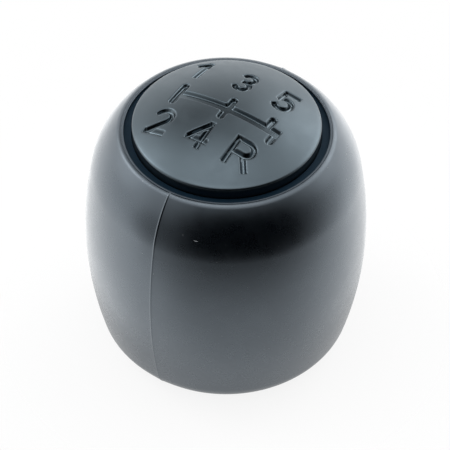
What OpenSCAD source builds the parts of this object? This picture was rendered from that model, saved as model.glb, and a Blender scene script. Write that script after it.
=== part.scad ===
// Gear shift knob for a manual gearbox, of the kind that is pushed onto the lever.
// A soft moulded grip is held on a rigid core. The grip rolls over in a rounded lip
// that ends on the core's narrow collar. Inside the collar lies a shallow groove round
// the domed cap, which snaps in and carries the shift pattern.
// A collet sleeve inside the core takes the lever, closed by a spring ring.
// Millimetres. The origin is the centre of the base, +Z runs up the lever,
// and +Y is forward, towards first gear.

/* [Grip] */
// Thickness of the grip at its largest radius
grip_t = 7.5; // [6.6:0.1:9]
// Height of the largest radius above the base
belly_z = 23.5; // [21:0.5:26]
// Radius of the gentle curve up the side
side_arc_r = 80; // [65:1:110]
// Radius of the rounded edge at the base
base_arc_r = 6; // [4:0.5:7]
// Radius of the shoulder curve below the lip
shoulder_arc_r = 16.7; // [15.5:0.1:17.5]
// Height where the side curve turns into the shoulder
shoulder_z = 38.5; // [38:0.1:39]
// Radius of the rounded lip
lip_r = 1.5; // [1:0.1:2]
// Distance of the lip's highest line from the groove
lip_crest_out = 0.3; // [0.1:0.05:0.5]
// Depth of grip material wrapped under the core's lower rim
base_wrap = 1.2; // [0.8:0.1:2]
// Step between the core's inner wall and the mouth of the grip
mouth_step = 0.4; // [0.2:0.1:0.8]
// How far the mould's parting line stands out of the grip
seam_out = 0.1; // [0.05:0.01:0.2]
// Width of the parting line
seam_w = 0.35; // [0.2:0.05:0.6]

/* [Collar and groove] */
// How far the collar stands out past the core's wall
collar_out = 0.5; // [0.3:0.05:0.9]
// Width of the collar that shows between lip and groove
collar_t = 0.35; // [0.25:0.05:0.6]
// Width of the groove between collar and cap
groove_w = 1.5; // [1.2:0.05:1.7]
// Depth of the groove
groove_depth = 0.55; // [0.4:0.05:1]
// Clearance between the cap's skirt and the socket below the groove
socket_clearance = 0.1; // [0.05:0.05:0.2]
// Depth of the socket's floor below the groove's edge
recess_depth = 4.15; // [3.8:0.05:4.8]
// Depth of grip material that meets the collar's side
edge_depth = 1.9; // [1.2:0.1:2.4]
// How far the hidden flange under the grip's shoulder stands out past the collar
flange_out = 1.5; // [0.9:0.1:1.7]
// Height of that flange's straight edge
flange_h = 0.8; // [0.4:0.1:1.2]

/* [Core] */
// Width of the pockets between hub and wall
pocket_w = 5.4; // [4.8:0.1:6.4]
// Thickness of the core's wall at its mouth
core_wall = 2; // [1.5:0.1:2.4]
// Draft of the core's cavity, as a loss of radius towards the deck
core_draft = 0.3; // [0:0.05:0.5]
// Thickness of the deck
deck_t = 2; // [1.5:0.1:2.6]
// How far the hub stands out past the sleeve's flange
hub_rim = 0.6; // [0.4:0.1:1]
// Thickness of the closed end over the hub's bore
hub_end_t = 4; // [2.5:0.1:5]
// Number of radial ribs
rib_count = 4; // [2:2:4]
// Thickness of a rib
rib_t = 1.6; // [1.2:0.1:2.2]
// Distance of the ribs' lower edges from the core's lower rim
rib_setback = 2.8; // [1:0.1:8]

/* [Keying rings] */
// Number of rings that key the grip to the core
key_ring_count = 3; // [1:1:4]
// How far a keying ring stands out of the core's wall
key_ring_out = 1.4; // [0.6:0.1:2]
// Height of a keying ring
key_ring_h = 1.6; // [1:0.1:2.5]
// Height of the lowest keying ring above the base
key_ring_z = 9.5; // [7:0.5:12]
// Distance from one keying ring to the next
key_ring_pitch = 10; // [7:0.5:10]
// Number of gaps in a keying ring, which stop the grip from turning
key_gap_count = 6; // [2:2:8]
// Width of a gap
key_gap_w = 4; // [2:0.5:6]

/* [Cap] */
// Height of the dome's edge above the groove's edge
cap_proud = 1.55; // [1:0.05:2.2]
// Rise of the dome from its edge to its crown
dome_rise = 3.7; // [2.5:0.1:4.5]
// Radius of the rounding between dome and skirt
cap_edge_r = 0.8; // [0.4:0.1:1.2]
// Thickness of the dome
cap_t = 2.2; // [1.8:0.1:2.8]
// Thickness of the skirt
skirt_t = 1.4; // [1.2:0.05:1.6]
// Height of the ring that centres the skirt
locating_ring_h = 1.2; // [0.8:0.1:2]
// Thickness of the ring that centres the skirt
locating_ring_t = 1; // [0.8:0.05:1.1]
// Clearance between the skirt and the ring that centres it
skirt_clearance = 0.15; // [0.05:0.05:0.25]

/* [Snap legs] */
// Width of a snap leg
leg_w = 5; // [4:0.25:6]
// Thickness of a snap leg
leg_t = 1.5; // [1.2:0.1:1.7]
// Distance of a snap leg's outer face from the ring that centres the skirt
leg_inset = 0.7; // [0.4:0.05:0.9]
// How far a hook reaches under the deck
hook_reach = 0.8; // [0.5:0.05:0.9]
// Height of a hook
hook_h = 2.2; // [1.6:0.1:2.6]
// Clearance round a snap leg in its window
leg_clearance = 0.1; // [0.05:0.05:0.2]

/* [Shift pattern] */
// Depth of the engraving
engrave_depth = 0.45; // [0.2:0.05:0.8]
// Height of a numeral
glyph_h = 5.8; // [4.8:0.1:6.2]
// Width of a numeral's stroke
glyph_w = 0.85; // [0.6:0.05:1.1]
// Width of the gate's cross channel
gate_cross_w = 1.6; // [1.2:0.1:2]
// Width of the gate's lanes
gate_lane_w = 1.15; // [0.9:0.05:1.5]
// Length of a lane from the cross channel's middle to its end
gate_lane_l = 2.8; // [2.4:0.1:3.2]
// Place of the first lane
gate_lane_12 = -9.8; // [-10.2:0.1:-9]
// Place of the middle lane
gate_lane_34 = 0.1; // [-0.6:0.1:0.6]
// Place of the fifth gear's lane
gate_lane_5 = 8; // [7.4:0.1:8.2]
// Place of the reverse gear's lane
gate_lane_r = 9.85; // [9.6:0.05:10.2]
// Radius of the fillets where the middle lane meets the cross channel
gate_fillet = 0.5; // [0.2:0.05:0.8]
// Distance of the front row of numerals from the cross channel's middle
front_row = 8.15; // [7.4:0.05:8.4]
// Distance of the rear row of numerals from the cross channel's middle
rear_row = 7.25; // [7:0.05:8]
// Place of the numeral 1 beside its lane
offset_1 = 0.05; // [-0.5:0.05:0.5]
// Place of the numeral 2 beside its lane
offset_2 = 0.85; // [0:0.05:1]
// Place of the numeral 3 beside its lane
offset_3 = -1.2; // [-1.5:0.05:0]
// Place of the numeral 4 beside its lane
offset_4 = -1.05; // [-1.5:0.05:0]
// Place of the numeral 5 beside its lane
offset_5 = -1; // [-1.5:0.05:0]
// Place of the letter R beside its lane
offset_r = -2.55; // [-3:0.05:-1.5]

/* [Lever sleeve] */
// Radius of the lever that the sleeve takes
lever_r = 6; // [5:0.1:6.4]
// Thickness of the sleeve's wall
sleeve_t = 2; // [1.7:0.05:2.4]
// Height of the sleeve's lower end above the base
sleeve_z = 1.6; // [1.2:0.1:3]
// Room between the sleeve's upper end and the closed end of the hub
sleeve_top_gap = 1.8; // [1:0.1:3]
// How far the flange that seats under the hub stands out
sleeve_flange_out = 2; // [1.6:0.1:2.4]
// Thickness of that flange
sleeve_flange_t = 1.6; // [1.2:0.1:2.4]
// Chamfer at the bore's mouth
mouth_chamfer = 0.8; // [0.4:0.1:1]
// Clearance between the sleeve and the hub
sleeve_clearance = 0.1; // [0.05:0.05:0.15]
// Width of the two keys that stop the sleeve from turning
key_w = 3; // [2:0.25:4]
// Height of those keys
key_h = 2; // [1:0.1:3]
// Clearance round a key
key_clearance = 0.1; // [0.05:0.05:0.2]

/* [Collet] */
// Number of slots in the collet
slot_count = 4; // [2:1:6]
// Width of a slot
slot_w = 1.2; // [0.8:0.1:1.5]
// Distance from the lower end of the slots to the barb
slot_below_barb = 4; // [2:0.5:8]
// Distance from the barb's step in the hub up to the spring ring
barb_below_clip = 5; // [4:0.1:6]
// How far the barb stands out
barb_out = 0.7; // [0.5:0.05:0.9]
// Height of the barb
barb_h = 1.6; // [1.2:0.1:2.2]
// Clearance under the barb
barb_clearance = 0.05; // [0.05:0.05:0.2]
// Room between the barb and the hub's wider bore
barb_room = 0.5; // [0.3:0.1:0.6]
// Chamfer at the collet's upper end
collet_chamfer = 0.6; // [0.3:0.1:0.8]
// Distance from the spring ring up to the sleeve's upper end
clip_below_top = 4.6; // [3.6:0.1:5.6]
// Depth of the bead that holds the lever's groove
bead_depth = 0.4; // [0.2:0.05:0.6]
// Height of that bead
bead_h = 2; // [1.4:0.1:2.4]

/* [Spring ring] */
// Thickness of the spring wire
wire_d = 1.2; // [0.8:0.05:1.4]
// Angle that the spring ring covers
clip_angle = 318; // [280:2:340]
// Depth of the ring's groove in the sleeve
clip_groove = 0.9; // [0.5:0.05:1.1]
// Clearance between the ring and its groove
clip_clearance = 0.05; // [0.02:0.01:0.1]

/* [Hidden] */
$fn = 96;

// Overlap that makes each cut run past the face that it opens
cut = 1;
// Straight pieces that stand for each arc of an outline, and for the collar's narrow top
arc_steps = 9;
collar_steps = 2;
// Angle at which the cap's rounded edge meets the dome
meet_angle = 10;
// Where the parting line ends short of the flat base
seam_start = -75;

// Radii, each from the one inside it
sleeve_r = lever_r + sleeve_t;
sleeve_flange_r = sleeve_r + sleeve_flange_out;
hub_r = sleeve_flange_r + hub_rim;
cavity_r = hub_r + pocket_w;
core_r = cavity_r + core_wall;
grip_r = core_r + grip_t;
mouth_r = cavity_r + mouth_step;
collar_r = core_r + collar_out;
flange_r = collar_r + flange_out;
recess_r = collar_r - collar_t;
cap_r = recess_r - groove_w;
socket_r = cap_r + socket_clearance;
hub_bore_r = sleeve_r + sleeve_clearance;
hub_top_r = sleeve_r + barb_out + barb_room;

// The side curve, the two smaller arcs that run smoothly into it, and the lip's rounding
side_c = [grip_r - side_arc_r, belly_z];
base_c = [
    side_c.x + sqrt(pow(side_arc_r - base_arc_r, 2) - pow(belly_z - base_arc_r, 2)),
    base_arc_r
];
base_angle = atan2(base_c.y - side_c.y, base_c.x - side_c.x);
shoulder_angle = asin((shoulder_z - belly_z) / side_arc_r);
shoulder_c = side_c + (side_arc_r - shoulder_arc_r) * [cos(shoulder_angle), sin(shoulder_angle)];
lip_x = recess_r + lip_crest_out;
lip_angle = acos((lip_x - shoulder_c.x) / (shoulder_arc_r - lip_r));
lip_c = [lip_x, shoulder_c.y + (shoulder_arc_r - lip_r) * sin(lip_angle)];
collar_angle = acos((collar_r - lip_x) / lip_r);
groove_angle = acos((recess_r - lip_x) / lip_r);

// Heights, from the collar down to the sleeve
collar_z = lip_c.y + lip_r * sin(collar_angle);
rim_z = lip_c.y + lip_r * sin(groove_angle);
groove_z = rim_z - groove_depth;
deck_z = rim_z - recess_depth;
deck_under_z = deck_z - deck_t;
hub_bore_top_z = deck_z - hub_end_t;
sleeve_top_z = hub_bore_top_z - sleeve_top_gap;
clip_z = sleeve_top_z - clip_below_top;
barb_z = clip_z - barb_below_clip;
slot_z = barb_z - slot_below_barb;
hub_z = sleeve_z + sleeve_flange_t;

// The dome is part of a sphere
dome_edge_z = rim_z + cap_proud;
dome_r = (pow(cap_r, 2) + pow(dome_rise, 2)) / (2 * dome_rise);
dome_z = dome_edge_z + dome_rise - dome_r;
skirt_in_r = cap_r - skirt_t;
locating_r = skirt_in_r - skirt_clearance;
leg_r = locating_r - locating_ring_t - leg_inset;

// Seats of the spring ring
clip_groove_r = sleeve_r - clip_groove;
clip_r = clip_groove_r + clip_clearance + wire_d / 2;
clip_groove_h = wire_d + 2 * clip_clearance;

// Points along an arc, from angle a to angle b
function arc(c, r, a, b, steps = arc_steps) = [
    for (i = [0 : steps])
        let (t = a + (b - a) * i / steps)
            c + r * [cos(t), sin(t)]
];

// Outline of the grip from the axis at the base, up the side and over to the collar
function grip_outline() = concat(
    [[0, 0]],
    arc(base_c, base_arc_r, -90, base_angle),
    arc(side_c, side_arc_r, base_angle, shoulder_angle),
    arc(shoulder_c, shoulder_arc_r, shoulder_angle, lip_angle),
    arc(lip_c, lip_r, lip_angle, collar_angle),
    [[0, deck_z]]
);

// Outline of everything that the core fills or encloses. The collar's top carries
// on the lip's rounding.
function core_outline() = concat(
    [
        [0, base_wrap],
        [core_r, base_wrap],
        [core_r, deck_under_z],
        [flange_r, deck_z],
        [flange_r, deck_z + flange_h],
        [collar_r, collar_z - edge_depth]
    ],
    arc(lip_c, lip_r, collar_angle, groove_angle, collar_steps),
    [[0, rim_z]]
);

// The core's outside, with its keying rings
module core_envelope() {
    rotate_extrude()
        polygon(core_outline());
    difference() {
        for (i = [0 : key_ring_count - 1])
            translate([0, 0, key_ring_z + i * key_ring_pitch])
                cylinder(r = core_r + key_ring_out, h = key_ring_h);
        for (i = [0 : key_gap_count / 2 - 1])
            rotate(i * 360 / key_gap_count)
                translate([-2 * core_r, -key_gap_w / 2, 0])
                    cube([4 * core_r, key_gap_w, deck_z]);
    }
}

// Section of the parting line: the grip's outline, a little larger
function seam_outline() =
    let (top = acos((collar_r - lip_x) / (lip_r + seam_out)))
        concat(
            [[0, belly_z]],
            arc(base_c, base_arc_r + seam_out, seam_start, base_angle),
            arc(side_c, side_arc_r + seam_out, base_angle, shoulder_angle),
            arc(shoulder_c, shoulder_arc_r + seam_out, shoulder_angle, lip_angle),
            arc(lip_c, lip_r + seam_out, lip_angle, top),
            [[collar_r, deck_z]]
        );

// Fine raised lines that the two halves of the mould leave, front and rear
module seams() {
    seam_angle = 2 * atan(seam_w / 2 / grip_r);
    for (a = [-90, 90])
        rotate(a - seam_angle / 2)
            rotate_extrude(angle = seam_angle)
                polygon(seam_outline());
}

// Soft grip, moulded round the core and under its lower rim
module grip() {
    color("#2b2f32")
        difference() {
            union() {
                rotate_extrude()
                    polygon(grip_outline());
                seams();
            }
            core_envelope();
            translate([0, 0, -cut])
                cylinder(r = mouth_r, h = base_wrap + 2 * cut);
        }
}

// One rib, which reaches from the hub into the wall
module rib() {
    translate([0, -rib_t / 2, base_wrap + rib_setback])
        cube([core_r - core_wall / 2, rib_t, deck_z]);
}

// Space between hub and wall, open at the base and crossed by the ribs
module core_cavity() {
    difference() {
        rotate_extrude()
            polygon([
                [hub_r, base_wrap - cut],
                [cavity_r, base_wrap - cut],
                [cavity_r - core_draft, deck_under_z],
                [hub_r, deck_under_z]
            ]);
        for (i = [0 : rib_count - 1])
            rotate((i + 0.5) * 360 / rib_count)
                rib();
    }
}

// Stepped bore of the hub, with its lower end cut back to seat the sleeve's flange
module hub_bore() {
    translate([0, 0, base_wrap - cut])
        cylinder(r = hub_r + cut / 2, h = hub_z - base_wrap + cut);
    translate([0, 0, hub_z - cut])
        cylinder(r = hub_bore_r, h = barb_z - hub_z + 2 * cut);
    translate([0, 0, barb_z])
        cylinder(r = hub_top_r, h = hub_bore_top_z - barb_z);
    sleeve_keys(key_clearance);
}

// Two keys on the sleeve, or with a clearance the slots for them in the hub
module sleeve_keys(gap) {
    difference() {
        translate([-sleeve_flange_r - gap, -key_w / 2 - gap, hub_z - cut / 2])
            cube([2 * (sleeve_flange_r + gap), key_w + 2 * gap, key_h + gap + cut / 2]);
        translate([0, 0, hub_z - cut])
            cylinder(r = (lever_r + sleeve_r) / 2, h = key_h + 3 * cut);
    }
}

// Windows in the deck, long enough inward for a hook to bend past the edge
module leg_windows() {
    for (a = [0 : 90 : 270])
        rotate(a)
            translate([
                leg_r - leg_t - hook_reach - 2 * leg_clearance,
                -leg_w / 2 - leg_clearance,
                deck_under_z - cut
            ])
                cube([
                    leg_t + hook_reach + 3 * leg_clearance,
                    leg_w + 2 * leg_clearance,
                    deck_t + 2 * cut
                ]);
}

// Rigid core: collar, socket for the cap, deck, wall, hub and ribs in one moulding
module core() {
    color("#3a3f43")
        difference() {
            union() {
                difference() {
                    core_envelope();
                    translate([0, 0, deck_z])
                        cylinder(r = socket_r, h = recess_depth + cut);
                    translate([0, 0, groove_z])
                        cylinder(r = recess_r, h = groove_depth + cut);
                }
                translate([0, 0, deck_z - cut / 2])
                    cylinder(r = locating_r, h = locating_ring_h + cut / 2);
            }
            translate([0, 0, deck_z])
                cylinder(r = locating_r - locating_ring_t, h = locating_ring_h + cut);
            core_cavity();
            hub_bore();
            leg_windows();
        }
}

// Snap leg with a sloped hook that catches under the deck
module snap_leg() {
    hook_z = deck_under_z - leg_clearance;
    translate([0, leg_w / 2, 0])
        rotate([90, 0, 0])
            linear_extrude(leg_w)
                polygon([
                    [leg_r - leg_t, dome_edge_z],
                    [leg_r - leg_t, hook_z - hook_h],
                    [leg_r, hook_z - hook_h],
                    [leg_r + hook_reach, hook_z - hook_h / 3],
                    [leg_r + hook_reach, hook_z],
                    [leg_r, hook_z],
                    [leg_r, dome_edge_z]
                ]);
}

// Straight and curved strokes of even width along a path of points
module stroke(path, w) {
    last = len(path) - 1;
    normals = [
        for (i = [0 : last])
            let (
                before = path[i] - path[max(i - 1, 0)],
                after = path[min(i + 1, last)] - path[i],
                u = i > 0 ? before / norm(before) : after / norm(after),
                v = i < last ? after / norm(after) : u,
                n = [-(u + v).y, (u + v).x] / norm(u + v)
            )
                n / (n * [-u.y, u.x])
    ];
    polygon(concat(
        [for (i = [0 : last]) path[i] + normals[i] * w / 2],
        [for (i = [last : -1 : 0]) path[i] - normals[i] * w / 2]
    ));
}

// Half the height of a numeral to the middle of its strokes. The numerals' paths
// are given in this unit, and a straight stem ends at plus and minus stem_end.
glyph_a = (glyph_h - glyph_w) / 2;
stem_end = glyph_h / 2 / glyph_a;

function stem(x) = [[x, stem_end], [x, -stem_end]];

function numeral_1() = [
    [[-0.71, 0.47], [0, 1]],
    stem(0)
];

function numeral_2(r = 0.585) = [
    concat(arc([0, 1 - r], r, 168, -38), [[-0.61, -1]]),
    [[-0.77, -1], [0.75, -1]]
];

function numeral_3(r = 0.485, bar_x = -0.2) = [
    concat(arc([0, 1 - r], r, 160, -90), [[bar_x, 1 - 2 * r]]),
    concat([[bar_x, 1 - 2 * r]], arc([0, -r], 1 - r, 90, -160))
];

function numeral_4(stem_x = 0.34, bar_y = -0.5) = [
    [[stem_x, 1], [-0.71, bar_y]],
    [[-0.83, bar_y], [0.79, bar_y]],
    stem(stem_x)
];

function numeral_5(r = 0.605) = [
    [[0.65, 1], [-0.44, 1], [r * cos(140), r - 1 + r * sin(140)]],
    arc([0, r - 1], r, 146, -152)
];

function letter_r(r = 0.545, stem_x = -0.77, bowl_x = 0.14) = [
    stem(stem_x),
    concat([[stem_x, 1]], arc([bowl_x, 1 - r], r, 90, -90), [[stem_x, 1 - 2 * r]]),
    [[bowl_x, 1 - 2 * r], [0.89, -stem_end]]
];

module numeral(paths, x, y) {
    translate([x, y])
        for (path = paths)
            stroke(glyph_a * path, glyph_w);
}

// Straight lane with one round end, from the cross channel outward
module gate_lane(x, side) {
    stroke([[x, 0], [x, side * (gate_lane_l - gate_lane_w / 2)]], gate_lane_w);
    translate([x, side * (gate_lane_l - gate_lane_w / 2)])
        circle(d = gate_lane_w);
}

// Rounded inner corner between the cross channel and the middle lane
module gate_corner(side_x, side_y) {
    translate([
        gate_lane_34 + side_x * gate_lane_w / 2,
        side_y * gate_cross_w / 2
    ])
        polygon(concat(
            [[0, 0]],
            arc([side_x * gate_fillet, side_y * gate_fillet], gate_fillet,
                -90 * side_y, -90 * side_y * (1 + side_x))
        ));
}

// The gate that the lever moves in: reverse has a lane of its own beside fifth
module gate() {
    stroke([[gate_lane_12, 0], [gate_lane_r + gate_lane_w / 2, 0]], gate_cross_w);
    for (side = [-1, 1]) {
        gate_lane(gate_lane_12, side);
        gate_lane(gate_lane_34, side);
    }
    gate_lane(gate_lane_5, 1);
    gate_lane(gate_lane_r, -1);
    for (side_x = [-1, 1])
        for (side_y = [-1, 1])
            gate_corner(side_x, side_y);
}

// The whole pattern: odd gears in front, even gears and reverse behind
module shift_pattern() {
    gate();
    numeral(numeral_1(), gate_lane_12 + offset_1, front_row);
    numeral(numeral_3(), gate_lane_34 + offset_3, front_row);
    numeral(numeral_5(), gate_lane_5 + offset_5, front_row);
    numeral(numeral_2(), gate_lane_12 + offset_2, -rear_row);
    numeral(numeral_4(), gate_lane_34 + offset_4, -rear_row);
    numeral(letter_r(), gate_lane_r + offset_r, -rear_row);
}

// The pattern as a cutter whose floor follows the dome
module engraving() {
    intersection() {
        translate([0, 0, dome_edge_z - cut])
            linear_extrude(dome_rise + 2 * cut)
                shift_pattern();
        difference() {
            translate([0, 0, dome_z])
                sphere(r = dome_r + cut);
            translate([0, 0, dome_z])
                sphere(r = dome_r - engrave_depth);
        }
    }
}

// Cap with a straight skirt and a rounded edge, which the dome then cuts at the top
module cap_block() {
    edge_c = [
        cap_r - cap_edge_r,
        dome_z + sqrt(pow(dome_r - cap_edge_r, 2) - pow(cap_r - cap_edge_r, 2))
    ];
    meet = atan2(edge_c.y - dome_z, edge_c.x) - meet_angle;
    meet_point = edge_c + cap_edge_r * [cos(meet), sin(meet)];
    rotate_extrude()
        polygon(concat(
            [[0, deck_z], [cap_r, deck_z]],
            arc(edge_c, cap_edge_r, 0, meet),
            [
                meet_point + 3 * cut * [-sin(meet), cos(meet)],
                [0, dome_z + dome_r + 3 * cut]
            ]
        ));
}

// Domed cap with skirt, snap legs and the engraved pattern
module shift_cap() {
    color("#4a5054")
        difference() {
            union() {
                difference() {
                    intersection() {
                        cap_block();
                        translate([0, 0, dome_z])
                            sphere(r = dome_r);
                    }
                    intersection() {
                        translate([0, 0, deck_z - cut])
                            cylinder(r = skirt_in_r, h = dome_rise + dome_edge_z - deck_z);
                        translate([0, 0, dome_z])
                            sphere(r = dome_r - cap_t);
                    }
                }
                for (a = [0 : 90 : 270])
                    rotate(a)
                        snap_leg();
            }
            engraving();
        }
}

// Outline of the sleeve's section: flange, plain tube, barb, ring groove and bead
function sleeve_section() = [
    [lever_r + mouth_chamfer, sleeve_z],
    [sleeve_flange_r, sleeve_z],
    [sleeve_flange_r, hub_z],
    [sleeve_r, hub_z],
    [sleeve_r, barb_z + barb_clearance],
    [sleeve_r + barb_out, barb_z + barb_clearance],
    [sleeve_r, barb_z + barb_clearance + barb_h],
    [sleeve_r, clip_z - clip_groove_h / 2],
    [clip_groove_r, clip_z - clip_groove_h / 2],
    [clip_groove_r, clip_z + clip_groove_h / 2],
    [sleeve_r, clip_z + clip_groove_h / 2],
    [sleeve_r, sleeve_top_z - collet_chamfer],
    [sleeve_r - collet_chamfer, sleeve_top_z],
    [lever_r, sleeve_top_z],
    [lever_r, clip_z + bead_h / 2],
    [lever_r - bead_depth, clip_z + bead_h / 2 - bead_depth],
    [lever_r - bead_depth, clip_z - bead_h / 2 + bead_depth],
    [lever_r, clip_z - bead_h / 2],
    [lever_r, sleeve_z + mouth_chamfer]
];

// Lever sleeve: the lower part is a plain tube, the upper part a slotted collet
module lever_sleeve() {
    color("#d8d3c3")
        difference() {
            union() {
                rotate_extrude()
                    polygon(sleeve_section());
                sleeve_keys(0);
            }
            for (i = [0 : slot_count - 1])
                rotate((i + 0.5) * 360 / slot_count)
                    translate([0, -slot_w / 2, slot_z])
                        cube([sleeve_flange_r, slot_w, sleeve_top_z - slot_z + cut]);
        }
}

// Open ring of round spring wire that closes the collet on the lever
module retaining_clip() {
    color("#b4b8bc")
        translate([0, 0, clip_z])
            rotate(-90 - clip_angle / 2)
                rotate_extrude(angle = clip_angle)
                    translate([clip_r, 0])
                        circle(d = wire_d);
}

grip();
core();
shift_cap();
lever_sleeve();
retaining_clip();
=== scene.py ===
# Gear shift knob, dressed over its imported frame. Sizes are millimetres where no note says metres.
import bmesh
import bpy
import math
import numpy as np
from mathutils import Matrix, Vector


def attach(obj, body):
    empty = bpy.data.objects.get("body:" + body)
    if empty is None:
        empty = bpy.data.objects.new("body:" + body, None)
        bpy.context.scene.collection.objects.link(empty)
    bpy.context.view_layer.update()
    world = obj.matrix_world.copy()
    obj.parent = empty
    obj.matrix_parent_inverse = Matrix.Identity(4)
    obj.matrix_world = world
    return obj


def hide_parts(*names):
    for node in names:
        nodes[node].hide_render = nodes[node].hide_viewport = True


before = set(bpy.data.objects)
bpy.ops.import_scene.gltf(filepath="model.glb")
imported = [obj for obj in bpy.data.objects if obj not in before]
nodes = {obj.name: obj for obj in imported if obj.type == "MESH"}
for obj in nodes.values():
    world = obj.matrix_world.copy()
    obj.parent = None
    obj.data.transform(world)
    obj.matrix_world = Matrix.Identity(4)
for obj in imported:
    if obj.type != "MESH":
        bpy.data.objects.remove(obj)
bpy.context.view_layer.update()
mm = 0.001
print("frame loaded:", ", ".join(sorted(nodes)))


def aim(azimuth, elevation):
    # direction away from the knob, azimuth counted round from the rear of the pattern
    a, e = math.radians(azimuth), math.radians(elevation)
    return Vector((math.sin(a) * math.cos(e), -math.cos(a) * math.cos(e), math.sin(e)))


# camera
cameraValues = {
    "azimuth": 31.0,
    "elevation": 45.38,
    "roll": 0.53,
    "distance": 450.0,
    "aimHeight": 24.08,
    "focalPixels": 2472.0,     # focal length in pixels of the photograph
    "imagePixels": 450.0,
    "middle": (225.9, 223.7),  # pixel on the lens's axis
    "sensorWidth": 36.0,
    "clip": (0.01, 20.0),      # metres
}


def addCamera(v):
    back = aim(v["azimuth"], v["elevation"])
    data = bpy.data.cameras.new("photoCamera")
    camera = bpy.data.objects.new("photoCamera", data)
    bpy.context.scene.collection.objects.link(camera)
    place = back * v["distance"] * mm + Vector((0, 0, v["aimHeight"] * mm))
    roll = Matrix.Rotation(math.radians(v["roll"]), 3, "Z")
    turn = back.to_track_quat("Z", "Y").to_matrix() @ roll
    camera.matrix_world = Matrix.Translation(place) @ turn.to_4x4()
    data.sensor_fit = "HORIZONTAL"
    data.sensor_width = v["sensorWidth"]
    data.lens = v["focalPixels"] / v["imagePixels"] * data.sensor_width
    half = v["imagePixels"] / 2
    data.shift_x = (half - v["middle"][0]) / v["imagePixels"]
    data.shift_y = (v["middle"][1] - half) / v["imagePixels"]
    data.clip_start, data.clip_end = v["clip"]
    bpy.context.scene.camera = camera


addCamera(cameraValues)


# node helpers
def newMaterial(name):
    material = bpy.data.materials.new(name)
    material.use_nodes = True
    tree = material.node_tree
    return material, tree, tree.nodes["Principled BSDF"]


def addNode(tree, kind, **settings):
    node = tree.nodes.new(kind)
    for key, value in settings.items():
        setattr(node, key, value)
    return node


def inMillimetres(tree):
    # object coordinates counted in millimetres
    coordinates = addNode(tree, "ShaderNodeTexCoord")
    mapping = addNode(tree, "ShaderNodeMapping")
    mapping.inputs["Scale"].default_value = (1000, 1000, 1000)
    tree.links.new(coordinates.outputs["Object"], mapping.inputs["Vector"])
    return mapping.outputs["Vector"]


def addNoise(tree, place, perMillimetre, detail=3.0, roughness=0.5):
    noise = addNode(tree, "ShaderNodeTexNoise")
    noise.inputs["Scale"].default_value = perMillimetre
    noise.inputs["Detail"].default_value = detail
    noise.inputs["Roughness"].default_value = roughness
    tree.links.new(place, noise.inputs["Vector"])
    return noise.outputs["Fac"]


def fieldMath(tree, operation, a, b=0.0, c=0.0):
    node = addNode(tree, "ShaderNodeMath", operation=operation)
    for socket, value in zip(node.inputs, (a, b, c)):
        if isinstance(value, (int, float)):
            socket.default_value = value
        else:
            tree.links.new(value, socket)
    return node.outputs[0]


def smoothRange(tree, value, fromLow, fromHigh, low=0.0, high=1.0, kind="SMOOTHSTEP"):
    ranged = addNode(tree, "ShaderNodeMapRange", interpolation_type=kind)
    labels = "From Min", "From Max", "To Min", "To Max"
    for label, number in zip(labels, (fromLow, fromHigh, low, high)):
        ranged.inputs[label].default_value = number
    tree.links.new(value, ranged.inputs["Value"])
    return ranged.outputs["Result"]


def spread(tree, noise, low, high):
    return smoothRange(tree, noise, *noiseReach, low, high, "LINEAR")


def axisDistance(tree, place):
    # how far a place is from the upright axis
    flat = addNode(tree, "ShaderNodeVectorMath", operation="MULTIPLY")
    tree.links.new(place, flat.inputs[0])
    flat.inputs[1].default_value = (1, 1, 0)
    length = addNode(tree, "ShaderNodeVectorMath", operation="LENGTH")
    tree.links.new(flat.outputs[0], length.inputs[0])
    return length.outputs["Value"]


def mixColours(tree, value, dark, light):
    mix = addNode(tree, "ShaderNodeMix", data_type="RGBA")
    mix.inputs["A"].default_value = (*dark, 1)
    mix.inputs["B"].default_value = (*light, 1)
    tree.links.new(value, mix.inputs["Factor"])
    return mix.outputs["Result"]


def addBump(tree, height, millimetres, before=None):
    bump = addNode(tree, "ShaderNodeBump")
    bump.inputs["Strength"].default_value = 1.0
    bump.inputs["Distance"].default_value = millimetres * mm
    tree.links.new(height, bump.inputs["Height"])
    if before is not None:
        tree.links.new(before, bump.inputs["Normal"])
    return bump.outputs["Normal"]


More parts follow.
